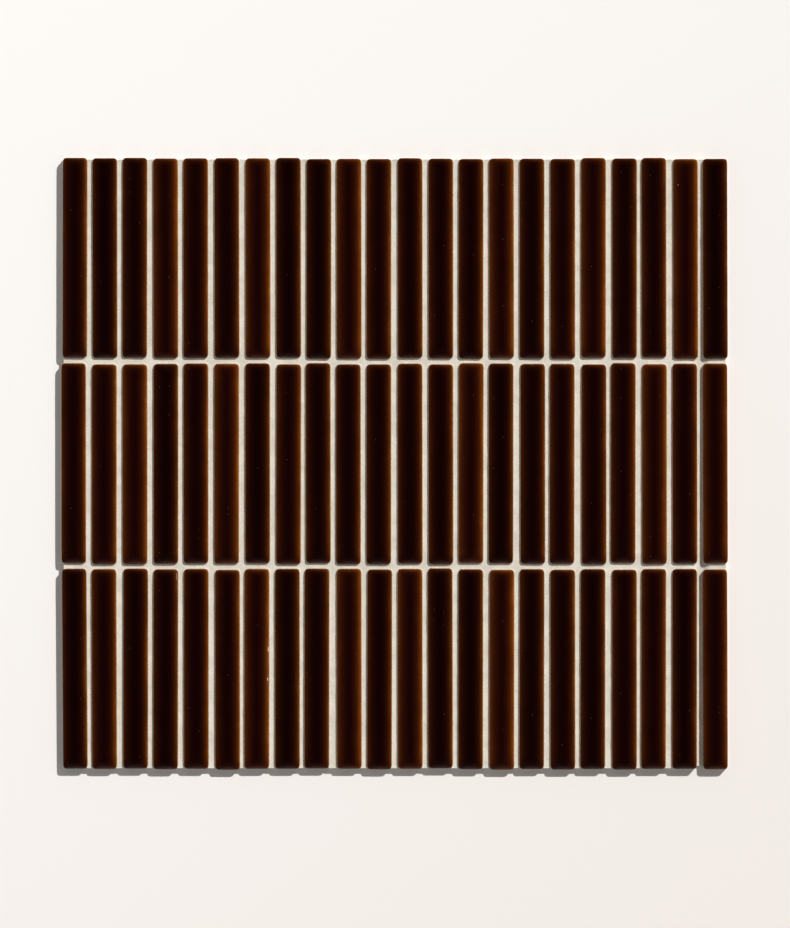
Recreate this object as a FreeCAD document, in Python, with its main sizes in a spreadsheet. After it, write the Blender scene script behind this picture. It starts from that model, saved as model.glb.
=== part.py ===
import FreeCAD, Part
import math
import os
import random
import Sketcher
from FreeCAD import Vector
from Sketcher import Constraint

# A sheet of slender glazed porcelain sticks, set side by side in rows and grouted in the joints.
# The origin is at the middle of the flat back. X runs across the sticks, Y along them, Z up to the glaze.
# Lengths are millimetres and leans are degrees.
DRIVING_SIZES = (
    ("stick_width", 11.3),
    ("stick_length", 91.75),
    ("stick_thickness", 6),
    ("crown_across", 0.9),
    ("crown_along", 0.2),
    ("side_round", 0.9),
    ("end_round", 2.2),
    ("corner_radius", 1.5),
    ("side_joint", 2.7),
    ("end_joint", 2.4),
    ("columns", 22),
    ("rows", 3),
    ("side_wander", 0.35),
    ("end_wander", 0.35),
    ("slipped_stick", 0.7),
    ("lean", 0.12),
    ("corner_stick_lean", 0.37),
    ("last_column_lean", 0.18),
    ("grout_recess", 2.5),
    ("grout_side_recess", 0.8),
    ("grout_end_recess", 0.45),
    ("low_joint_recess_top", 3),
    ("low_joint_recess_bottom", 4.4),
    ("low_joint_short_end", 1.7),
)

PITCH_ACROSS = "(Sizes.stick_width + Sizes.side_joint)"
PITCH_ALONG = "(Sizes.stick_length + Sizes.end_joint)"
SHEET_WIDTH = f"(Sizes.columns * {PITCH_ACROSS} - Sizes.side_joint)"
SHEET_LENGTH = f"(Sizes.rows * {PITCH_ALONG} - Sizes.end_joint)"

# The bottom row's stick in this column, counted from 1, lies furthest out of its place.
SLIPPED_COLUMN = 9

# How a sketch names the points of its lines and arcs, its origin and its upright axis.
START, END, CENTRE = range(1, 4)
POINT = START
ORIGIN, UPRIGHT_AXIS = -1, -2

doc = FreeCAD.newDocument("porcelain_mosaic_tile")


def make_sizes():
    """The sheet of driving dimensions, one name and one number a row."""
    sizes = doc.addObject("Spreadsheet::Sheet", "Sizes")
    for line, (name, value) in enumerate(DRIVING_SIZES, start=1):
        sizes.set(f"A{line}", name)
        sizes.set(f"B{line}", str(value))
        sizes.setAlias(f"B{line}", name)
    doc.recompute()
    return sizes


def bind(thing, bindings):
    for name, formula in bindings.items():
        thing.setExpression(name, formula)


def sketch_on(body, role):
    """An empty sketch on one of the body's own origin planes."""
    sketch = body.newObject("Sketcher::SketchObject", f"{body.Label}_outline")
    plane = next(item for item in body.Origin.OriginFeatures if item.Role == role)
    sketch.AttachmentSupport = [(plane, "")]
    sketch.MapMode = "FlatFace"
    return sketch


def constrain(sketch, rules, dimensions):
    """Adds the rules, and then the dimensions, each with its name and the formula that it is bound to."""
    for rule in rules:
        sketch.addConstraint(rule)
    for dimension, name, formula in dimensions:
        sketch.addConstraint(dimension)
        sketch.renameConstraint(sketch.ConstraintCount - 1, name)
        sketch.setExpression(f"Constraints.{name}", formula)


def draw_view(body, role, width_name, crown_name, shoulder_name, sizes):
    """A stick seen level from its end or side: flat back, upright walls, round shoulders, crowned top."""
    half, top = getattr(sizes, width_name) / 2, sizes.stick_thickness
    crown, bend = getattr(sizes, crown_name), getattr(sizes, shoulder_name)
    crown_radius = crown / 2 + half**2 / (2 * crown)
    crown_centre = top - crown_radius
    bend_across = half - bend
    bend_height = crown_centre + math.sqrt((crown_radius - bend) ** 2 - bend_across**2)
    reach = crown_radius / (crown_radius - bend)
    diagonal = bend * math.sqrt(0.5)
    foot, wall_top, crest = Vector(half, 0, 0), Vector(half, bend_height, 0), Vector(0, top, 0)
    knee = Vector(bend_across + diagonal, bend_height + diagonal, 0)
    meeting = Vector(bend_across * reach, crown_centre + (bend_height - crown_centre) * reach, 0)

    def flipped(point):
        return Vector(-point.x, point.y, 0)

    sketch = sketch_on(body, role)
    back = sketch.addGeometry(Part.LineSegment(flipped(foot), foot))
    right_wall = sketch.addGeometry(Part.LineSegment(foot, wall_top))
    right_bend = sketch.addGeometry(Part.Arc(wall_top, knee, meeting))
    top_arc = sketch.addGeometry(Part.Arc(meeting, crest, flipped(meeting)))
    left_bend = sketch.addGeometry(Part.Arc(flipped(meeting), flipped(knee), flipped(wall_top)))
    left_wall = sketch.addGeometry(Part.LineSegment(flipped(wall_top), flipped(foot)))
    crest_point = sketch.addGeometry(Part.Point(crest), True)
    rules = (
        Constraint("Coincident", back, END, right_wall, START),
        Constraint("Tangent", right_wall, END, right_bend, START),
        Constraint("Tangent", right_bend, END, top_arc, START),
        Constraint("Tangent", top_arc, END, left_bend, START),
        Constraint("Tangent", left_bend, END, left_wall, START),
        Constraint("Coincident", left_wall, END, back, START),
        Constraint("Horizontal", back),
        Constraint("Vertical", right_wall),
        Constraint("Vertical", left_wall),
        Constraint("Equal", right_bend, left_bend),
        Constraint("Symmetric", back, START, back, END, ORIGIN, POINT),
        Constraint("PointOnObject", top_arc, CENTRE, UPRIGHT_AXIS),
        Constraint("PointOnObject", crest_point, POINT, UPRIGHT_AXIS),
        Constraint("PointOnObject", crest_point, POINT, top_arc),
    )
    crown_formula = f"Sizes.{crown_name} / 2 + Sizes.{width_name} ^ 2 / (8 * Sizes.{crown_name})"
    dimensions = (
        (Constraint("DistanceX", back, START, back, END, 2 * half), "width", f"Sizes.{width_name}"),
        (Constraint("DistanceY", ORIGIN, POINT, crest_point, POINT, top), "thickness",
         "Sizes.stick_thickness"),
        (Constraint("Radius", right_bend, bend), "shoulder", f"Sizes.{shoulder_name}"),
        (Constraint("Radius", top_arc, crown_radius), "crown", crown_formula),
    )
    constrain(sketch, rules, dimensions)
    return sketch


def draw_plan(body, width, length, corner, sizes):
    """A piece seen from above: a rectangle about the origin with round corners, from three formulas."""
    half_width, half_length = sizes.evalExpression(width) / 2, sizes.evalExpression(length) / 2
    bend = sizes.evalExpression(corner)
    inset = bend * (1 - math.sqrt(0.5))
    corners = []
    for right, far in ((1, 1), (-1, 1), (-1, -1), (1, -1)):
        on_side = Vector(right * half_width, far * (half_length - bend), 0)
        on_end = Vector(right * (half_width - bend), far * half_length, 0)
        knee = Vector(right * (half_width - inset), far * (half_length - inset), 0)
        corners.append((on_side, knee, on_end) if right == far else (on_end, knee, on_side))

    sketch = sketch_on(body, "XY_Plane")
    arcs = [sketch.addGeometry(Part.Arc(*points)) for points in corners]
    far_right, near_left = arcs[0], arcs[2]
    rules = [Constraint("Symmetric", far_right, CENTRE, near_left, CENTRE, ORIGIN, POINT)]
    for index, arc in enumerate(arcs):
        following = (index + 1) % len(arcs)
        edge = sketch.addGeometry(Part.LineSegment(corners[index][2], corners[following][0]))
        rules.append(Constraint("Tangent", arc, END, edge, START))
        rules.append(Constraint("Tangent", edge, END, arcs[following], START))
        rules.append(Constraint("Vertical" if index % 2 else "Horizontal", edge))
        if arc != far_right:
            rules.append(Constraint("Equal", far_right, arc))
    across, along = 2 * (half_width - bend), 2 * (half_length - bend)
    dimensions = (
        (Constraint("Radius", far_right, bend), "corner", corner),
        (Constraint("DistanceX", near_left, CENTRE, far_right, CENTRE, across), "across",
         f"{width} - 2 * {corner}"),
        (Constraint("DistanceY", near_left, CENTRE, far_right, CENTRE, along), "along",
         f"{length} - 2 * {corner}"),
    )
    constrain(sketch, rules, dimensions)
    return sketch


def pad(body, sketch, side_type, length):
    """Runs a sketch out to a length, to one side of its plane or half to each."""
    run = body.newObject("PartDesign::Pad", f"{body.Label}_pad")
    run.Profile = sketch
    run.SideType = side_type
    run.setExpression("Length", length)


def make_stick(sizes):
    """One stick: what its plan, its end view and its side view have in common."""
    plan = doc.addObject("PartDesign::Body", "plan")
    outline = draw_plan(plan, "Sizes.stick_width", "Sizes.stick_length", "Sizes.corner_radius", sizes)
    pad(plan, outline, "One side", "Sizes.stick_thickness")
    end_view = doc.addObject("PartDesign::Body", "end_view")
    section = draw_view(end_view, "XZ_Plane", "stick_width", "crown_across", "side_round", sizes)
    pad(end_view, section, "Symmetric", "Sizes.stick_length")
    side_view = doc.addObject("PartDesign::Body", "side_view")
    profile = draw_view(side_view, "YZ_Plane", "stick_length", "crown_along", "end_round", sizes)
    pad(side_view, profile, "Symmetric", "Sizes.stick_width")
    stick = doc.addObject("Part::MultiCommon", "stick")
    stick.Shapes = [plan, end_view, side_view]
    return stick


def place_stick(link, column, row, columns, rows):
    """Sets one stick in its column and row, a little off its place and its line as hand-laid sticks are."""
    across = column - (columns - 1) / 2
    along = row - (rows - 1) / 2
    chance = random.Random(rows * column + row)
    aside = f"{chance.uniform(-1, 1):.3f} * Sizes.side_wander"
    ahead = f"{chance.uniform(-1, 1):.3f} * Sizes.end_wander"
    lean = f"{chance.uniform(-1, 1):.3f} * Sizes.lean"
    if row == 0 and column < 2:
        lean = f"Sizes.corner_stick_lean / {column + 1}"
    if column == columns - 1:
        lean = "Sizes.last_column_lean"
    if row == 0 and column == SLIPPED_COLUMN - 1:
        aside = "-Sizes.slipped_stick"
    bind(link, {
        "Placement.Base.x": f"{across} * {PITCH_ACROSS} + {aside}",
        "Placement.Base.y": f"{along} * {PITCH_ALONG} + {ahead}",
        "Placement.Rotation.Angle": lean,
    })


def make_columns(stick, columns, rows):
    """Lays copies of the stick in their places. The sticks of a column are one object and don't touch."""
    stick_columns = []
    for column in range(columns):
        sticks = []
        for row in range(rows):
            link = doc.addObject("App::Link", f"stick_{column + 1:02d}_{row + 1}")
            link.LinkedObject = stick
            place_stick(link, column, row, columns, rows)
            sticks.append(link)
        group = doc.addObject("Part::Compound", f"stick_column_{column + 1:02d}")
        group.Links = sticks
        stick_columns.append(group)
    return stick_columns


def make_grout(stick_columns, sizes):
    """The grout: a slab below the glaze, low and short in the last joint, with a bed for every stick.

    The slab's corners are rounded to the middle of the corner sticks, so no grout shows outside them."""
    slab = doc.addObject("PartDesign::Body", "grout_slab")
    width = f"({SHEET_WIDTH} - 2 * Sizes.grout_side_recess)"
    length = f"({SHEET_LENGTH} - 2 * Sizes.grout_end_recess)"
    corner = "(Sizes.stick_width / 2 - Sizes.grout_side_recess)"
    outline = draw_plan(slab, width, length, corner, sizes)
    pad(slab, outline, "One side", "Sizes.stick_thickness - Sizes.grout_recess")

    last_joint = f"((Sizes.columns / 2 - 1) * {PITCH_ACROSS})"
    cut_width = "(Sizes.side_joint + 2 * Sizes.corner_radius)"
    low_joint = doc.addObject("Part::Wedge", "low_joint")
    bind(low_joint, {
        "Xmin": f"{last_joint} - {cut_width} / 2",
        "Xmax": f"{last_joint} + {cut_width} / 2",
        "X2min": ".Xmin",
        "X2max": ".Xmax",
        "Ymin": f"-{SHEET_LENGTH} / 2",
        "Ymax": f"{SHEET_LENGTH} / 2",
        "Zmin": "Sizes.stick_thickness - Sizes.low_joint_recess_bottom",
        "Z2min": "Sizes.stick_thickness - Sizes.low_joint_recess_top",
        "Zmax": "Sizes.stick_thickness",
        "Z2max": "Sizes.stick_thickness",
    })

    short_end = doc.addObject("Part::Box", "short_end")
    bind(short_end, {
        "Length": cut_width,
        "Width": "Sizes.low_joint_short_end",
        "Height": "Sizes.stick_thickness",
        "Placement.Base.x": f"{last_joint} - {cut_width} / 2",
        "Placement.Base.y": f"-{SHEET_LENGTH} / 2",
    })

    lowered = doc.addObject("Part::Cut", "lowered_slab")
    lowered.Base = slab
    lowered.Tool = low_joint
    shortened = doc.addObject("Part::Cut", "shortened_slab")
    shortened.Base = lowered
    shortened.Tool = short_end
    all_sticks = doc.addObject("Part::Compound", "all_sticks")
    all_sticks.Links = stick_columns
    grout = doc.addObject("Part::Cut", "grout")
    grout.Base = shortened
    grout.Tool = all_sticks
    return grout


def check_document():
    for item in doc.Objects:
        if "Invalid" in item.State or "Error" in item.State:
            raise RuntimeError(f"{item.Label} failed: {item.State}")


def check_piece(piece, solids):
    shape = piece.Shape
    if shape.isNull() or not shape.isValid():
        raise RuntimeError(f"{piece.Label} has no valid shape")
    if len(shape.Solids) != solids:
        raise RuntimeError(f"{piece.Label} has {len(shape.Solids)} solids, not {solids}")


sizes = make_sizes()
columns = round(sizes.columns)
rows = round(sizes.rows)
stick = make_stick(sizes)
stick_columns = make_columns(stick, columns, rows)
grout = make_grout(stick_columns, sizes)
doc.recompute()

check_document()
for piece in stick_columns:
    check_piece(piece, rows)
check_piece(grout, 1)

os.makedirs("parts", exist_ok=True)
pieces = stick_columns + [grout]
for piece in pieces:
    piece.Shape.exportStep(f"parts/{piece.Label}.step")

box = Part.makeCompound([piece.Shape for piece in pieces]).BoundBox
print(f"stick {stick.Shape.Volume:.1f} mm3, grout {grout.Shape.Volume:.1f} mm3")
print(f"sheet {box.XLength:.2f} x {box.YLength:.2f} x {box.ZLength:.2f} mm")
print(f"middle {box.Center.x:.3f}, {box.Center.y:.3f}, lowest {box.ZMin:.3f}")
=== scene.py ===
import bpy
import math
import random
from mathutils import Matrix, Vector, noise


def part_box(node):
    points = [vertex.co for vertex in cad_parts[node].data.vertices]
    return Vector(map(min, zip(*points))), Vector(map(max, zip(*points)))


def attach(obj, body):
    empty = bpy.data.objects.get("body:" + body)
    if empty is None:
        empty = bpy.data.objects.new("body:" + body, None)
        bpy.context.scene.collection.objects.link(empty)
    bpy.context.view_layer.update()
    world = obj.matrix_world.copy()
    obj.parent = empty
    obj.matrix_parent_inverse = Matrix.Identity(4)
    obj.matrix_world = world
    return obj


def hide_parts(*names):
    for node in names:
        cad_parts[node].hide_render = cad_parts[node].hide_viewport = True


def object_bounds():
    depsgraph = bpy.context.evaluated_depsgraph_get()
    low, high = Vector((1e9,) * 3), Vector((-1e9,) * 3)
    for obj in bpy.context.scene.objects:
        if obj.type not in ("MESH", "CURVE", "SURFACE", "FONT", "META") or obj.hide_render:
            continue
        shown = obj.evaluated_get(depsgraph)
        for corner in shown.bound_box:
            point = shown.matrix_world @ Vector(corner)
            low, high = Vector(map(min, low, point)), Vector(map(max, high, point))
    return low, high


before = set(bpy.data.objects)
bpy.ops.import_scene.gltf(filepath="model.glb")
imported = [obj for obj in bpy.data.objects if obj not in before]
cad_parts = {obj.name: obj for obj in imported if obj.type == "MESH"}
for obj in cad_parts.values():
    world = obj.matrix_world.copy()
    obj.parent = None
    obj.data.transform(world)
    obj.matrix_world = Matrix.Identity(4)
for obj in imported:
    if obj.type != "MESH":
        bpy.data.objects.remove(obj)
cadLow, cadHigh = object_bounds()
mm = 0.001
tiny = 0.01 * mm  # points nearer than this are taken as one place
columnNodes = sorted(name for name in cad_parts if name.startswith("stick_column_"))
print("frame loaded,", len(columnNodes), "columns of sticks and the grout")


def pickOnly(thing):
    bpy.ops.object.select_all(action="DESELECT")
    thing.select_set(True)
    bpy.context.view_layer.objects.active = thing


def applyPlace(thing):
    pickOnly(thing)
    bpy.ops.object.transform_apply(location=True, rotation=True, scale=True)


def useModifier(thing, kind, **settings):
    modifier = thing.modifiers.new(kind.lower(), kind)
    for name, value in settings.items():
        setattr(modifier, name, value)
    pickOnly(thing)
    bpy.ops.object.modifier_apply(modifier=modifier.name)


# leaves the thing in edit mode with only the edges, faces or vertices selected that pass the test
def pickParts(thing, part, test):
    pickOnly(thing)
    bpy.ops.object.mode_set(mode="EDIT")
    bpy.ops.mesh.select_mode(type={"vertices": "VERT", "edges": "EDGE", "polygons": "FACE"}[part])
    bpy.ops.mesh.select_all(action="DESELECT")
    bpy.ops.object.mode_set(mode="OBJECT")
    for item in getattr(thing.data, part):
        item.select = test(item)
    bpy.ops.object.mode_set(mode="EDIT")


def joinAll(things, name):
    bpy.ops.object.select_all(action="DESELECT")
    for thing in things:
        thing.select_set(True)
    bpy.context.view_layer.objects.active = things[0]
    bpy.ops.object.join()
    things[0].name = things[0].data.name = name
    return things[0]


def copyAt(master, place):
    copy = master.copy()
    copy.data = master.data.copy()
    bpy.context.collection.objects.link(copy)
    copy.matrix_world = place
    applyPlace(copy)
    return copy


# where the sticks lie: each one's middle and lean, bottom row first
def laidSticks(nodeName):
    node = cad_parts[nodeName]
    copy = copyAt(node, node.matrix_world)
    copy.name = "laid"
    pickParts(copy, "vertices", lambda vertex: True)
    bpy.ops.mesh.remove_doubles(threshold=tiny)
    bpy.ops.mesh.separate(type="LOOSE")
    bpy.ops.object.mode_set(mode="OBJECT")
    shells = list(bpy.context.selected_objects)
    laid = []
    for shell in shells:
        points = [vertex.co for vertex in shell.data.vertices]
        low, high = min(point.y for point in points), max(point.y for point in points)
        nearEnd = 4 * mm
        foot = [point.x for point in points if point.y < low + nearEnd]
        head = [point.x for point in points if point.y > high - nearEnd]
        footX, headX = (min(foot) + max(foot)) / 2, (min(head) + max(head)) / 2
        lean = math.atan2(footX - headX, high - low - nearEnd)
        laid.append({"middle": Vector(((footX + headX) / 2, (low + high) / 2, 0)), "lean": lean})
        mesh = shell.data
        bpy.data.objects.remove(shell)
        bpy.data.meshes.remove(mesh)
    return sorted(laid, key=lambda stick: stick["middle"].y)


laid = [laidSticks(name) for name in columnNodes]
rowCount = len(laid[0])
print("read the places of", sum(len(column) for column in laid), "sticks")


stickShape = {
    "width": 11.3 * mm,
    "length": 91.75 * mm,
    "cornerBevel": 0.86 * mm,
    "shoulderBevel": 0.24 * mm,
    "shoulderReach": 2.6 * mm,  # how far the soft shoulder reaches in from the long sides
    "endReach": 3.6 * mm,  # and from the ends
    "wallLoop": 1.5 * mm,  # below the outline of the top
    "backLoop": 0.4 * mm,
    "backCrease": 0.7,
    "outlineDrop": 0.95 * mm,  # the outline lies this much below the crest, before smoothing
    "loopDrop": 0.16 * mm,
    "lengthCuts": 9,
    "smoothing": 2,
    "wave": 0.08 * mm,
    "waveLength": 11 * mm,
    "endHaste": 1.65,  # the glaze gets deep faster from the ends than from the long sides
    "rimBlend": 2.2 * mm,
    "leftPaintedShade": 0.8 * mm,  # painted shade: the glaze is made deeper, so darker, along the left side, which faces away from the key light
    "footPaintedShade": 0.9 * mm,  # and painted shade at the lower end, which faces away from it too
    "footShadeReach": 5 * mm,
    "topBand": 1.2 * mm,  # the top face and its bevels lie within this of the crest
    "waveFoot": 1 * mm,  # the walls waver from this height
    "waveRise": 2 * mm,  # and all of the way this much higher
    "sharpest": 50,  # degrees, past which an edge stays sharp
}

# sticks that were fired lighter and redder than the rest, as columns in each row from the bottom
lightSticks = ((7, 10, 12, 15), (3, 6, 14, 20, 22), (4, 7, 10, 15, 18, 21))
lightTones = (0.4, 0.75)  # on a scale from -1 to 1
darkTones = (-0.75, 0.25)


# glaze over porcelain: amber where it runs thin over the edges, near black where it pools
glazeLook = {
    "reach": 5.2 * mm,  # how far in from the outline the glaze goes on getting deeper
    "ramp": (
        (0.00, (0.260, 0.085, 0.0120)),
        (0.07, (0.150, 0.040, 0.0040)),
        (0.15, (0.100, 0.0225, 0.0014)),
        (0.28, (0.0525, 0.0100, 0.0008)),
        (0.37, (0.0360, 0.0063, 0.0006)),
        (0.46, (0.0250, 0.0040, 0.0005)),
        (0.60, (0.0170, 0.0025, 0.0005)),
        (0.78, (0.0105, 0.0013, 0.0005)),
        (1.00, (0.0075, 0.0005, 0.0005)),
    ),
    "unevenness": (90, 420),  # wide and fine, as noise scales
    "wideShare": 0.7,  # of the wide one, in their sum
    "drift": 0.65 * mm,  # how much the glaze's depth wanders along a rim
    "streaks": 0.6 * mm,  # and from streak to streak, down the length of a stick
    "streakScale": 620,
    "streakStretch": 0.06,
    "thinGlaze": 0.74,  # the depth on the lightest stick, as a share of the usual one
    "lift": (0.6, 1.3),  # how bright the darkest and the lightest stick are
    "body": ((0.60, 0.54, 0.46), (0.66, 0.60, 0.52)),
    "bodyRoughness": 0.75,
    "bareBelow": 0.9 * mm,  # the glaze ends about this far above the back
    "bareWander": 0.8 * mm,
    "bareBlend": 0.3 * mm,
    "roughness": (0.18, 0.27),
    "glossSpan": (0.3, 0.7),  # the part of the noise that is used
    "peelStrength": 0.12,
    "peelDepth": 0.25 * mm,
    "shine": 0.25,
    "speck": {"size": 0.13 * mm, "spacing": 4.5 * mm, "share": 0.035, "colour": (0.24, 0.15, 0.12)},
    "pinhole": {"size": 0.2 * mm, "spacing": 3.2 * mm, "share": 0.05, "colour": (0.006, 0.003, 0.002)},
}

# worn spots: column and row of the stick, counted from the left and the bottom, then how far in from its
# right edge and up from its middle, and half the spot's width and length
barePorcelain = (0.58, 0.44, 0.34)
wornGlaze = (0.27, 0.13, 0.09)
chipRaggedness = 0.9
chipEdge = (1.15, 0.75)  # from bare glaze to worn, in half widths
chips = (
    {"stick": (7, 1), "inset": 0.35 * mm, "up": 8.9 * mm,
     "halfWidth": 0.22 * mm, "halfLength": 1.1 * mm, "colour": barePorcelain},
    {"stick": (7, 1), "inset": 0.7 * mm, "up": -4.7 * mm,
     "halfWidth": 0.18 * mm, "halfLength": 0.8 * mm, "colour": barePorcelain},
    {"stick": (4, 1), "inset": 0.6 * mm, "up": 42.6 * mm,
     "halfWidth": 0.2 * mm, "halfLength": 1.7 * mm, "colour": wornGlaze},
    {"stick": (21, 3), "inset": 9.1 * mm, "up": 33.9 * mm,
     "halfWidth": 0.15 * mm, "halfLength": 0.18 * mm, "colour": barePorcelain},
)


def newMaterial(name):
    material = bpy.data.materials.new(name)
    material.use_nodes = True
    nodes, links = material.node_tree.nodes, material.node_tree.links
    nodes.clear()
    output = nodes.new("ShaderNodeOutputMaterial")
    shader = nodes.new("ShaderNodeBsdfPrincipled")
    links.new(shader.outputs["BSDF"], output.inputs["Surface"])
    return material, nodes, links, shader


def addNoise(nodes, links, place, scale, detail=3.0, roughness=0.5):
    texture = nodes.new("ShaderNodeTexNoise")
    texture.inputs["Scale"].default_value = scale
    texture.inputs["Detail"].default_value = detail
    texture.inputs["Roughness"].default_value = roughness
    links.new(place, texture.inputs["Vector"])
    return texture.outputs["Fac"]


def addMath(nodes, links, operation, first, second, third=None):
    step = nodes.new("ShaderNodeMath")
    step.operation = operation
    for socket, value in zip(step.inputs, (first, second, third)):
        if value is None:
            continue
        if isinstance(value, (int, float)):
            socket.default_value = value
        else:
            links.new(value, socket)
    return step.outputs["Value"]


def addRange(nodes, links, value, fromLow, fromHigh, toLow=0.0, toHigh=1.0, smooth=True):
    step = nodes.new("ShaderNodeMapRange")
    step.interpolation_type = "SMOOTHSTEP" if smooth else "LINEAR"
    step.inputs["From Min"].default_value = fromLow
    step.inputs["From Max"].default_value = fromHigh
    step.inputs["To Min"].default_value = toLow
    step.inputs["To Max"].default_value = toHigh
    links.new(value, step.inputs["Value"])
    return step.outputs["Result"]


def addMix(nodes, links, factor, first, second):
    step = nodes.new("ShaderNodeMix")
    step.data_type = "RGBA"
    colourInputs = [socket for socket in step.inputs if socket.type == "RGBA"]
    factorInput = [socket for socket in step.inputs if socket.type == "VALUE"][0]
    for socket, value in ((factorInput, factor), (colourInputs[0], first), (colourInputs[1], second)):
        if isinstance(value, (int, float)):
            socket.default_value = value
        elif isinstance(value, tuple):
            socket.default_value = (*value, 1)
        else:
            links.new(value, socket)
    return [socket for socket in step.outputs if socket.type == "RGBA"][0]


# small round spots strewn over the sheet, one in some of the cells
def addSpots(nodes, links, place, spots):
    cells = nodes.new("ShaderNodeTexVoronoi")
    cells.voronoi_dimensions = "2D"
    cells.inputs["Scale"].default_value = 1 / spots["spacing"]
    links.new(place, cells.inputs["Vector"])
    size = spots["size"] / spots["spacing"]
    near = addRange(nodes, links, cells.outputs["Distance"], size, 0.5 * size)
    draw = nodes.new("ShaderNodeSeparateColor")
    links.new(cells.outputs["Color"], draw.inputs[0])
    drawn = addMath(nodes, links, "LESS_THAN", draw.outputs[0], spots["share"])
    return addMath(nodes, links, "MULTIPLY", near, drawn)


def addChips(nodes, links, place, rough, colour):
    for chip in chips:
        column, row = chip["stick"]
        middle = laid[column - 1][row - 1]["middle"]
        offset = nodes.new("ShaderNodeVectorMath")
        offset.operation = "SUBTRACT"
        links.new(place, offset.inputs[0])
        offset.inputs[1].default_value = (middle.x + stickShape["width"] / 2 - chip["inset"],
                                          middle.y + chip["up"], 0)
        scaled = nodes.new("ShaderNodeVectorMath")
        scaled.operation = "MULTIPLY"
        links.new(offset.outputs[0], scaled.inputs[0])
        scaled.inputs[1].default_value = (1 / chip["halfWidth"], 1 / chip["halfLength"], 0)
        length = nodes.new("ShaderNodeVectorMath")
        length.operation = "LENGTH"
        links.new(scaled.outputs[0], length.inputs[0])
        edge = addMath(nodes, links, "MULTIPLY_ADD", rough, chipRaggedness, length.outputs["Value"])
        worn = addRange(nodes, links, edge, *chipEdge)
        colour = addMix(nodes, links, worn, colour, chip["colour"])
    return colour


def makeGlaze(look):
    material, nodes, links, shader = newMaterial("darkRedBrownGlaze")
    place = nodes.new("ShaderNodeTexCoord").outputs["Object"]
    rim = nodes.new("ShaderNodeAttribute")
    rim.attribute_name = "rim"
    tone = nodes.new("ShaderNodeAttribute")
    tone.attribute_name = "tone"

    # depth of glaze, from the distance to the outline, which carries painted shade along the left side and
    # the lower end, and two sizes of unevenness
    wideScale, fineScale = look["unevenness"]
    wide = addNoise(nodes, links, place, wideScale, 2)
    fine = addNoise(nodes, links, place, fineScale, 3)
    wander = addMath(nodes, links, "ADD", addMath(nodes, links, "MULTIPLY", wide, look["wideShare"]),
                     addMath(nodes, links, "MULTIPLY", fine, 1 - look["wideShare"]))
    centred = addMath(nodes, links, "SUBTRACT", wander, 0.5)
    drawn = nodes.new("ShaderNodeMapping")
    drawn.inputs["Scale"].default_value = (1, look["streakStretch"], 1)
    links.new(place, drawn.inputs["Vector"])
    streaky = addNoise(nodes, links, drawn.outputs["Vector"], look["streakScale"], 3, 0.6)
    streak = addMath(nodes, links, "SUBTRACT", streaky, 0.5)
    run = addMath(nodes, links, "MULTIPLY_ADD", centred, 2 * look["drift"], rim.outputs["Fac"])
    depth = addMath(nodes, links, "MULTIPLY_ADD", streak, 2 * look["streaks"], run)
    thinned = addRange(nodes, links, tone.outputs["Fac"], 0, 1, 1, look["thinGlaze"], smooth=False)
    depth = addMath(nodes, links, "MULTIPLY", depth, thinned)
    fraction = addRange(nodes, links, depth, 0, look["reach"], smooth=False)
    ramp = nodes.new("ShaderNodeValToRGB")
    ramp.color_ramp.interpolation = "LINEAR"
    stops = ramp.color_ramp.elements
    for position, colour in look["ramp"][1:-1]:
        stops.new(position)
    for stop, (position, colour) in zip(stops, look["ramp"]):
        stop.position = position
        stop.color = (*colour, 1)
    links.new(fraction, ramp.inputs["Fac"])

    # some sticks were fired redder and lighter than others
    lift = addRange(nodes, links, tone.outputs["Fac"], -1, 1, *look["lift"], smooth=False)
    toned = nodes.new("ShaderNodeVectorMath")
    toned.operation = "SCALE"
    links.new(ramp.outputs["Color"], toned.inputs[0])
    links.new(lift, toned.inputs["Scale"])

    # bare porcelain on the back and the foot of the walls
    height = nodes.new("ShaderNodeSeparateXYZ")
    links.new(place, height.inputs[0])
    edge = addMath(nodes, links, "MULTIPLY_ADD", centred, look["bareWander"], height.outputs["Z"])
    glazed = addRange(nodes, links, edge, look["bareBelow"], look["bareBelow"] + look["bareBlend"])
    biscuit = addMix(nodes, links, fine, *look["body"])
    colour = addMix(nodes, links, glazed, biscuit, toned.outputs["Vector"])

    # dust under the glaze, pinholes in it, and chips that show the body
    for spots in (look["pinhole"], look["speck"]):
        colour = addMix(nodes, links, addSpots(nodes, links, place, spots), colour, spots["colour"])
    colour = addChips(nodes, links, place, centred, colour)
    links.new(colour, shader.inputs["Base Color"])
    shader.inputs["Specular IOR Level"].default_value = look["shine"]
    gloss = addRange(nodes, links, fine, *look["glossSpan"], *look["roughness"])
    roughness = nodes.new("ShaderNodeMix")
    roughness.data_type = "FLOAT"
    roughness.inputs[2].default_value = look["bodyRoughness"]
    links.new(glazed, roughness.inputs[0])
    links.new(gloss, roughness.inputs[3])
    links.new(roughness.outputs[0], shader.inputs["Roughness"])

    # faint orange peel
    bump = nodes.new("ShaderNodeBump")
    bump.inputs["Strength"].default_value = look["peelStrength"]
    bump.inputs["Distance"].default_value = look["peelDepth"]
    links.new(wander, bump.inputs["Height"])
    links.new(bump.outputs["Normal"], shader.inputs["Normal"])
    return material


groutLook = {
    "colour": (0.776, 0.713, 0.610),
    "dark": (0.69, 0.626, 0.528),
    "blotches": 160,  # these three are noise scales
    "grain": 2200,
    "rags": 900,
    "shades": (0.82, 1.05),
    "blotchSpan": (0.35, 0.65),  # the parts of the noises that are used
    "grainSpan": (0.3, 0.62),
    "roughness": 0.9,
    "shine": 0.2,
    "bumpStrength": 0.5,
    "bumpDepth": 0.12 * mm,
    "paintedEdgeShade": (0.34, 0.22, 0.12),  # painted shade with warm bounce light off the glaze, brown and ragged where the grout meets the sticks
    "edgeShadeStrength": 0.8,
    "edgeShadeReach": 0.5 * mm,
    "raggedness": 0.4 * mm,
}


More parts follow.
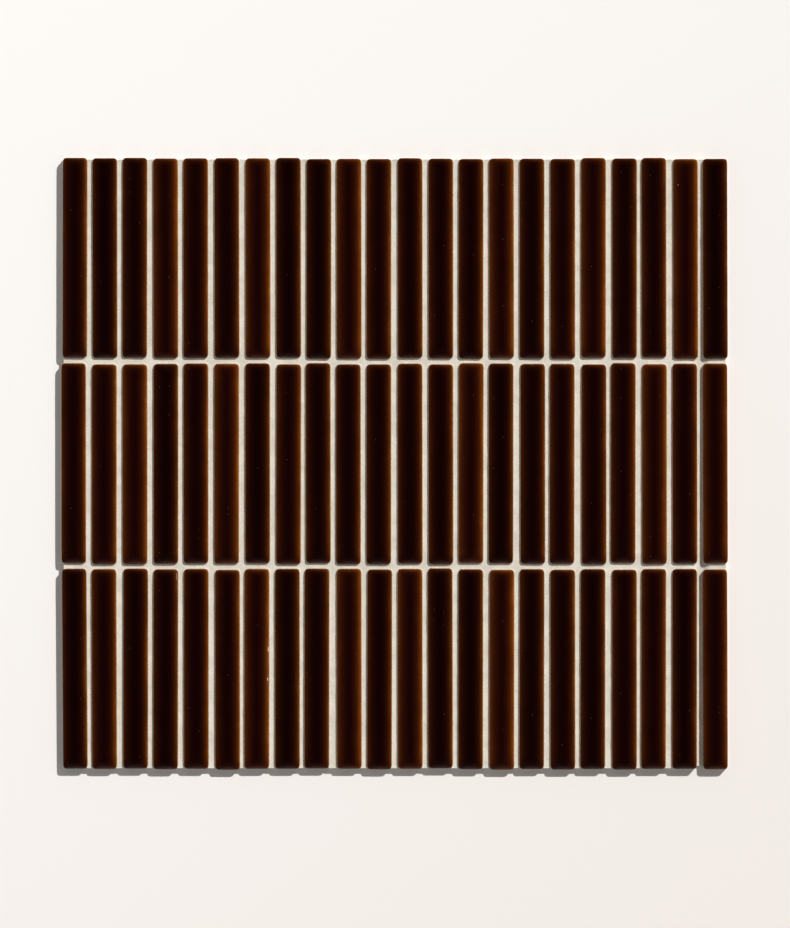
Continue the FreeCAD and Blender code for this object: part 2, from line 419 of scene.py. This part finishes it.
def makeGroutFinish(look):
    material, nodes, links, shader = newMaterial("creamSandedGrout")
    place = nodes.new("ShaderNodeTexCoord").outputs["Object"]
    blotch = addNoise(nodes, links, place, look["blotches"], 3)
    grain = addNoise(nodes, links, place, look["grain"], 4, 0.65)
    blotchy = addRange(nodes, links, blotch, *look["blotchSpan"])
    mottled = addMix(nodes, links, blotchy, look["dark"], look["colour"])
    sand = addRange(nodes, links, grain, *look["grainSpan"], *look["shades"])
    toned = nodes.new("ShaderNodeVectorMath")
    toned.operation = "SCALE"
    links.new(mottled, toned.inputs[0])
    links.new(sand, toned.inputs["Scale"])
    # painted shade: the grout turns darker and browner towards the sticks, standing in for the shade in the
    # joints' corners and warm light off the glaze
    fromStick = nodes.new("ShaderNodeAttribute")
    fromStick.attribute_name = "fromStick"
    ragged = addNoise(nodes, links, place, look["rags"], 2)
    away = addMath(nodes, links, "MULTIPLY_ADD", ragged, look["raggedness"], fromStick.outputs["Fac"])
    nearest = look["raggedness"] / 2
    paintedEdgeShade = addRange(nodes, links, away, nearest, nearest + look["edgeShadeReach"], look["edgeShadeStrength"], 0)
    colour = addMix(nodes, links, paintedEdgeShade, toned.outputs["Vector"], look["paintedEdgeShade"])
    links.new(colour, shader.inputs["Base Color"])
    shader.inputs["Roughness"].default_value = look["roughness"]
    shader.inputs["Specular IOR Level"].default_value = look["shine"]
    bump = nodes.new("ShaderNodeBump")
    bump.inputs["Strength"].default_value = look["bumpStrength"]
    bump.inputs["Distance"].default_value = look["bumpDepth"]
    links.new(grain, bump.inputs["Height"])
    links.new(bump.outputs["Normal"], shader.inputs["Normal"])
    return material


glaze = makeGlaze(glazeLook)
groutFinish = makeGroutFinish(groutLook)
print("finishes made")


def makeStick(shape, thickness):
    width, length = shape["width"], shape["length"]
    bpy.ops.mesh.primitive_cube_add(size=1, location=(0, 0, thickness / 2))
    stick = bpy.context.active_object
    stick.name = "stickMaster"
    stick.scale = (width, length, thickness)
    applyPlace(stick)

    def onOutline(edge):
        ends = [stick.data.vertices[index].co for index in edge.vertices]
        return all(abs(end.x) > width / 2 - tiny or abs(end.y) > length / 2 - tiny for end in ends)

    def atTop(vertex):
        return vertex.co.z > thickness - shape["topBand"]

    # round corners in plan
    def atCorner(edge):
        ends = [stick.data.vertices[index].co for index in edge.vertices]
        return abs(ends[0].z - ends[1].z) > thickness / 2
    pickParts(stick, "edges", atCorner)
    bpy.ops.mesh.bevel(offset=shape["cornerBevel"], segments=1, affect="EDGES")
    bpy.ops.object.mode_set(mode="OBJECT")

    # loops along, across and round the stick
    loopX, loopY = width / 2 - shape["shoulderReach"], length / 2 - shape["endReach"]
    steps = shape["lengthCuts"]
    cuts = [((x, 0, 0), (1, 0, 0)) for x in (-loopX, 0, loopX)]
    cuts += [((0, -loopY + 2 * loopY * step / steps, 0), (0, 1, 0)) for step in range(steps + 1)]
    wallLoop = thickness - shape["outlineDrop"] - shape["wallLoop"]
    cuts += [((0, 0, z), (0, 0, 1)) for z in (shape["backLoop"], wallLoop)]
    for place, normal in cuts:
        pickParts(stick, "vertices", lambda vertex: True)
        bpy.ops.mesh.bisect(plane_co=place, plane_no=normal, threshold=1e-7)
        bpy.ops.object.mode_set(mode="OBJECT")

    # a crowned top: its outline is lowered most, the loops beside it less
    def pastLoops(vertex):
        return atTop(vertex) and (abs(vertex.co.x) > loopX - tiny or abs(vertex.co.y) > loopY - tiny)
    pickParts(stick, "vertices", pastLoops)
    bpy.ops.transform.translate(value=(0, 0, -shape["loopDrop"]))
    bpy.ops.object.mode_set(mode="OBJECT")

    def topOutline(vertex):
        return atTop(vertex) and (abs(vertex.co.x) > width / 2 - tiny or abs(vertex.co.y) > length / 2 - tiny)
    pickParts(stick, "vertices", topOutline)
    bpy.ops.transform.translate(value=(0, 0, shape["loopDrop"] - shape["outlineDrop"]))
    bpy.ops.object.mode_set(mode="OBJECT")

    def topEdge(edge):
        return onOutline(edge) and all(atTop(stick.data.vertices[index]) for index in edge.vertices)
    pickParts(stick, "edges", topEdge)
    bpy.ops.mesh.bevel(offset=shape["shoulderBevel"], segments=1, affect="EDGES")
    bpy.ops.object.mode_set(mode="OBJECT")

    def backEdge(edge):
        return onOutline(edge) and all(stick.data.vertices[index].co.z < tiny for index in edge.vertices)
    pickParts(stick, "edges", backEdge)
    bpy.ops.transform.edge_crease(value=shape["backCrease"])
    bpy.ops.object.mode_set(mode="OBJECT")
    useModifier(stick, "SUBSURF", levels=shape["smoothing"], render_levels=shape["smoothing"])

    pickParts(stick, "polygons", lambda face: face.normal.z < -0.99 and face.center.z < tiny)
    bpy.ops.mesh.dissolve_faces()
    bpy.ops.object.mode_set(mode="OBJECT")
    stick.dimensions = (width, length, thickness)
    applyPlace(stick)
    pickOnly(stick)
    bpy.ops.object.shade_smooth_by_angle(angle=math.radians(shape["sharpest"]))

    # distance in from the outline, which the glaze follows, with painted shade added along the left side and
    # the lower end, and where the walls may waver
    blend = shape["rimBlend"]
    distances = []
    for vertex in stick.data.vertices:
        side = width / 2 - abs(vertex.co.x)
        end = (length / 2 - abs(vertex.co.y)) * shape["endHaste"]
        nearer = max(blend - abs(side - end), 0) / blend
        # painted shade: extra depth, so darker glaze, towards the left side and the lower end, which face
        # away from the key light
        toLeft = min(max(0.5 - vertex.co.x / width, 0), 1)
        paintedShade = shape["leftPaintedShade"] * toLeft * toLeft * (3 - 2 * toLeft)
        fromFoot = length / 2 + vertex.co.y
        paintedShade += shape["footPaintedShade"] * max(1 - fromFoot / shape["footShadeReach"], 0)
        distances.append(max(min(side, end) - nearer * nearer * blend / 4, 0) + paintedShade)
    stick.data.attributes.new("rim", "FLOAT", "POINT")
    stick.data.attributes["rim"].data.foreach_set("value", distances)
    wavy = stick.vertex_groups.new(name="wavy")
    for vertex in stick.data.vertices:
        climbed = (vertex.co.z - shape["waveFoot"]) / shape["waveRise"]
        wavy.add([vertex.index], min(max(climbed, 0), 1), "REPLACE")
    return stick


thickness = cadHigh.z - cadLow.z
stickMaster = makeStick(stickShape, thickness)
print("stick modelled,", len(stickMaster.data.polygons), "faces")


def makeColumn(number, nodeName, sticks, shape):
    chance = random.Random(number)
    copies = []
    for stick, light in zip(sticks, lightSticks):
        turn = Matrix.Rotation(stick["lean"], 4, "Z")
        copy = copyAt(stickMaster, Matrix.Translation(stick["middle"]) @ turn)
        tone = copy.data.attributes.new("tone", "FLOAT", "POINT")
        value = chance.uniform(*(lightTones if number in light else darkTones))
        tone.data.foreach_set("value", [value] * len(copy.data.vertices))
        copies.append(copy)
    column = joinAll(copies, f"glazed_sticks_{number:02d}")
    waves = bpy.data.textures.new(f"waves_{number:02d}", "CLOUDS")
    waves.noise_scale = shape["waveLength"]
    waves.noise_depth = 2
    useModifier(column, "DISPLACE", texture=waves, texture_coords="GLOBAL", vertex_group="wavy",
                mid_level=1, strength=shape["wave"])
    column.data.materials.clear()
    column.data.materials.append(glaze)
    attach(column, "root")
    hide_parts(nodeName)
    return column


columns = [makeColumn(index + 1, name, laid[index], stickShape) for index, name in enumerate(columnNodes)]
bpy.data.objects.remove(stickMaster)
print("laid", len(columns), "columns")


groutShape = {
    "bedInset": 0.10 * mm,  # the beds are this much smaller than the sticks, so that no gap shows
    "bedCorner": 1.9 * mm,
    "snapReach": 0.35 * mm,  # edge points this near to a wall are moved onto it
    "jointReach": 2.1 * mm,  # the fine grid goes this far to each side of a joint
    "jointStep": 0.42 * mm,
    "stickStepAcross": 1.2 * mm,
    "stickStepAlong": 1.0 * mm,
    "meniscus": 0.45 * mm,  # how far the grout climbs at the sticks' walls
    "meniscusReach": 0.7 * mm,
    "swelling": 0.1 * mm,  # how much the joints stand up between the sticks
    "endHollow": 0.08 * mm,  # and how much less where the sticks' ends meet
    "endHollowReach": 1.5 * mm,
    "unevenness": 0.16 * mm,
    "unevenLength": 7 * mm,
    "grain": 0.07 * mm,
    "grainLength": 0.9 * mm,
    "borderWander": 0.25 * mm,
    "borderLength": 5 * mm,
    "borderLip": 0.2 * mm,  # left by the float at the sheet's free edges
    "lowReach": 1.5 * mm,  # the last joint is low this far to each side
    "lowBlend": 2.5 * mm,
    "lowTop": 0.5 * mm,  # how much lower, at its upper and at its lower end
    "lowBottom": 1.9 * mm,
    "shortEnd": 1.25 * mm,  # left empty at the bottom
    "sharpest": 60,
}


def evenSteps(start, end, step):
    count = max(1, round((end - start) / step))
    return [start + (end - start) * index / count for index in range(1, count + 1)]


# places of grid lines, close together across each joint and wider apart along the sticks
def gridLines(start, end, joints, reach, jointStep, openStep):
    lines = [start]
    for joint in joints:
        lines += evenSteps(lines[-1], joint - reach, openStep)
        lines += evenSteps(lines[-1], joint + reach, jointStep)
    return lines + evenSteps(lines[-1], end, openStep)


columnX = [sum(stick["middle"].x for stick in column) / rowCount for column in laid]
rowY = [sum(column[row]["middle"].y for column in laid) / len(laid) for row in range(rowCount)]
jointsX = [(first + second) / 2 for first, second in zip(columnX, columnX[1:])]
jointsY = [(first + second) / 2 for first, second in zip(rowY, rowY[1:])]


# how far a point is outside the nearest stick's bed, and the way straight out of that bed
def outsideBed(point, shape):
    column = sum(joint < point.x for joint in jointsX)
    row = sum(joint < point.y for joint in jointsY)
    nearest = None
    for c in {column, min(column + 1, len(laid) - 1), max(column - 1, 0)}:
        for r in {row, min(row + 1, rowCount - 1), max(row - 1, 0)}:
            stick = laid[c][r]
            turn = Matrix.Rotation(stick["lean"], 2)
            local = turn.transposed() @ (point - stick["middle"]).to_2d()
            corner = shape["bedCorner"]
            across = abs(local.x) - stickShape["width"] / 2 + shape["bedInset"] + corner
            along = abs(local.y) - stickShape["length"] / 2 + shape["bedInset"] + corner
            gap = math.hypot(max(across, 0), max(along, 0)) + min(max(across, along), 0) - corner
            if nearest is None or gap < nearest[0]:
                if across > 0 and along > 0:
                    out = Vector((across, along)).normalized()
                else:
                    out = Vector((1, 0)) if across > along else Vector((0, 1))
                out = Vector((math.copysign(out.x, local.x), math.copysign(out.y, local.y)))
                nearest = (gap, (turn @ out).to_3d())
    return nearest


def makeGrout(shape):
    low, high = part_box("grout")
    reach, step = shape["jointReach"], shape["jointStep"]
    linesX = gridLines(low.x, high.x, jointsX, reach, step, shape["stickStepAcross"])
    linesY = gridLines(low.y, high.y, jointsY, reach, step, shape["stickStepAlong"])
    countX, countY = len(linesX) - 1, len(linesY) - 1
    bpy.ops.mesh.primitive_grid_add(x_subdivisions=countX, y_subdivisions=countY, size=1)
    grout = bpy.context.active_object
    grout.name = grout.data.name = "joint_grout"
    gridColumns = []
    for vertex in grout.data.vertices:
        indexX = round((vertex.co.x + 0.5) * countX)
        indexY = round((vertex.co.y + 0.5) * countY)
        vertex.co = (linesX[indexX], linesY[indexY], 0)
        gridColumns.append(indexX)
    grout.data.attributes.new("gridColumn", "INT", "POINT")
    grout.data.attributes["gridColumn"].data.foreach_set("value", gridColumns)

    # take away what lies under the sticks, and the missing end of the last joint
    lastJoint = jointsX[-1]

    def unfilled(face):
        place = face.center
        atShortEnd = abs(place.x - lastJoint) < reach and place.y < low.y + shape["shortEnd"]
        return atShortEnd or outsideBed(place, shape)[0] < 0
    pickParts(grout, "polygons", unfilled)
    bpy.ops.mesh.delete(type="FACE")
    bpy.ops.mesh.select_all(action="DESELECT")
    bpy.ops.mesh.select_mode(type="VERT")
    bpy.ops.mesh.select_non_manifold()
    bpy.ops.object.mode_set(mode="OBJECT")

    # fit the beds to the sticks and give the surface its relief
    distances = []
    for vertex in grout.data.vertices:
        place = vertex.co.copy()
        gap, out = outsideBed(place, shape)
        if vertex.select and gap < shape["snapReach"]:
            place -= out * gap
            gap = 0
        distances.append(gap)
        climb = max(1 - gap / shape["meniscusReach"], 0) ** 2 * shape["meniscus"] + shape["swelling"]
        fromRows = min(abs(place.y - joint) for joint in jointsY)
        climb -= shape["endHollow"] * min(max(2 - fromRows / shape["endHollowReach"], 0), 1)
        swell = noise.noise(place / shape["unevenLength"]) * shape["unevenness"]
        rough = noise.noise(place / shape["grainLength"]) * shape["grain"]
        fromLast = abs(place.x - lastJoint) - shape["lowReach"]
        aside = min(max(fromLast / shape["lowBlend"], 0), 1)
        down = (high.y - place.y) / (high.y - low.y)
        sunk = (shape["lowTop"] + (shape["lowBottom"] - shape["lowTop"]) * down) * (1 - aside)
        height = high.z + climb + swell + rough - sunk
        if vertex.select and gap > 0:
            wander = abs(noise.noise(place / shape["borderLength"])) * shape["borderWander"]
            if abs(place.y) > abs(place.x) * high.y / high.x:
                place.y -= math.copysign(wander, place.y)
            else:
                place.x -= math.copysign(wander, place.x)
            height += shape["borderLip"]
        vertex.co = (place.x, place.y, height)
    grout.data.attributes.new("fromStick", "FLOAT", "POINT")
    grout.data.attributes["fromStick"].data.foreach_set("value", distances)

    # walls down to the back, and the back itself
    pickParts(grout, "vertices", lambda vertex: True)
    bpy.ops.mesh.extrude_region_move()
    bpy.ops.object.mode_set(mode="OBJECT")
    for vertex in grout.data.vertices:
        if vertex.select:
            vertex.co.z = 0

    # the back is flat, so its squares are joined into one strip from wall to wall
    vertices = grout.data.vertices
    gridColumn = [item.value for item in grout.data.attributes["gridColumn"].data]
    wallEdges = set()
    for face in grout.data.polygons:
        heights = [vertices[index].co.z for index in face.vertices]
        if min(heights) < tiny < max(heights):
            wallEdges.update(face.edge_keys)

    def insideBack(edge):
        first, second = edge.vertices
        atBack = max(vertices[first].co.z, vertices[second].co.z) < tiny
        return atBack and edge.key not in wallEdges and gridColumn[first] == gridColumn[second]
    pickParts(grout, "edges", insideBack)
    bpy.ops.mesh.dissolve_edges(use_verts=True)
    bpy.ops.mesh.select_all(action="SELECT")
    bpy.ops.mesh.normals_make_consistent(inside=False)
    bpy.ops.object.mode_set(mode="OBJECT")
    grout.data.attributes.remove(grout.data.attributes["gridColumn"])
    grout.data.materials.append(groutFinish)
    pickOnly(grout)
    bpy.ops.object.shade_smooth_by_angle(angle=math.radians(shape["sharpest"]))
    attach(grout, "root")
    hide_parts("grout")
    return grout


grout = makeGrout(groutShape)
print("grout cast,", sum(len(face.vertices) - 2 for face in grout.data.polygons), "triangles")


stage = {
    "floorReach": 40,
    "floorPaintedLight": (0.963, 0.938, 0.905),  # painted light, towards the far left
    "floorPaintedDim": (0.862, 0.807, 0.768),  # painted dimming, towards the near right
    "floorFall": (1.07, -1.46),  # how fast the painted light on the floor dims along X and Y, for each metre
    "sunPower": 3.28,
    "sunFrom": (0.64, 0.73, 1.0),
    "sunAngle": 1.5,
    "fill": 0.28,
    "roomGlow": 1.3,  # a soft wall of light in front, which only the glaze shows
    "glowHeight": (0.985, 0.7),  # upward parts of the heading, where it starts and is full
    "glowFront": (0.1, -0.6),
    "glowAside": (0.6, 0.2),
    "glowLeast": (0.04, 0.1),  # what is left of it at the back and to the sides
    "backdrop": (0.93, 0.91, 0.88),
    "lens": 400,
    "frameHeight": 425.3 * mm,
    "aim": (0.1 * mm, -0.1 * mm),
    "sensor": 36,
    "farthest": 200,
}


def makeStage(settings):
    bpy.ops.mesh.primitive_plane_add(size=2 * settings["floorReach"], location=(0, 0, 0))
    floor = bpy.context.active_object
    floor.name = "floor"
    material, nodes, links, shader = newMaterial("paleFloor")
    place = nodes.new("ShaderNodeSeparateXYZ")
    links.new(nodes.new("ShaderNodeTexCoord").outputs["Object"], place.inputs[0])
    # the floor's colour carries a painted falloff of light, brighter at the far left and dimmer at the near
    # right
    fallX, fallY = settings["floorFall"]
    across = addMath(nodes, links, "MULTIPLY_ADD", place.outputs["X"], fallX, 0.5)
    fall = addMath(nodes, links, "MULTIPLY_ADD", place.outputs["Y"], fallY, across)
    dim = addRange(nodes, links, fall, 0, 1, smooth=False)
    shade = addMix(nodes, links, dim, settings["floorPaintedLight"], settings["floorPaintedDim"])
    links.new(shade, shader.inputs["Base Color"])
    shader.inputs["Roughness"].default_value = 1
    shader.inputs["Specular IOR Level"].default_value = 0
    floor.data.materials.append(material)

    bpy.ops.object.light_add(type="SUN")
    sun = bpy.context.active_object
    sun.name = "keyLight"
    sun.data.energy = settings["sunPower"]
    sun.visible_glossy = False  # behind a wide diffuser, so it leaves no hard glints on the glaze
    sun.data.angle = math.radians(settings["sunAngle"])
    sun.rotation_euler = Vector(settings["sunFrom"]).to_track_quat("Z", "Y").to_euler()

    world = bpy.data.worlds.new("studio")
    bpy.context.scene.world = world
    world.use_nodes = True
    nodes, links = world.node_tree.nodes, world.node_tree.links
    nodes.clear()
    output = nodes.new("ShaderNodeOutputWorld")
    fill = nodes.new("ShaderNodeBackground")
    fill.inputs["Color"].default_value = (1, 1, 1, 1)
    fill.inputs["Strength"].default_value = settings["fill"]
    room = nodes.new("ShaderNodeBackground")
    heading = nodes.new("ShaderNodeSeparateXYZ")
    links.new(nodes.new("ShaderNodeTexCoord").outputs["Generated"], heading.inputs[0])
    horizon = addRange(nodes, links, heading.outputs["Z"], *settings["glowHeight"])
    leastBehind, leastAside = settings["glowLeast"]
    toFront = addRange(nodes, links, heading.outputs["Y"], *settings["glowFront"], leastBehind, 1)
    aside = addMath(nodes, links, "ABSOLUTE", heading.outputs["X"], None)
    central = addRange(nodes, links, aside, *settings["glowAside"], leastAside, 1)
    facing = addMath(nodes, links, "MULTIPLY", toFront, central)
    glow = addMath(nodes, links, "MULTIPLY", horizon, facing)
    links.new(addMath(nodes, links, "MULTIPLY", glow, settings["roomGlow"]), room.inputs["Strength"])
    backdrop = nodes.new("ShaderNodeBackground")
    backdrop.inputs["Color"].default_value = (*settings["backdrop"], 1)
    path = nodes.new("ShaderNodeLightPath")
    glossy = nodes.new("ShaderNodeMixShader")
    links.new(path.outputs["Is Glossy Ray"], glossy.inputs["Fac"])
    links.new(fill.outputs[0], glossy.inputs[1])
    links.new(room.outputs[0], glossy.inputs[2])
    seen = nodes.new("ShaderNodeMixShader")
    links.new(path.outputs["Is Camera Ray"], seen.inputs["Fac"])
    links.new(glossy.outputs[0], seen.inputs[1])
    links.new(backdrop.outputs[0], seen.inputs[2])
    links.new(seen.outputs[0], output.inputs["Surface"])

    bpy.ops.object.camera_add()
    camera = bpy.context.active_object
    camera.name = "camera"
    camera.data.lens = settings["lens"]
    camera.data.sensor_width = settings["sensor"]
    height = thickness + settings["lens"] / settings["sensor"] * settings["frameHeight"]
    camera.location = (*settings["aim"], height)
    camera.data.clip_end = settings["farthest"]
    bpy.context.scene.camera = camera
    bpy.context.scene.view_settings.view_transform = "Standard"


makeStage(stage)
print("stage, light and camera set")
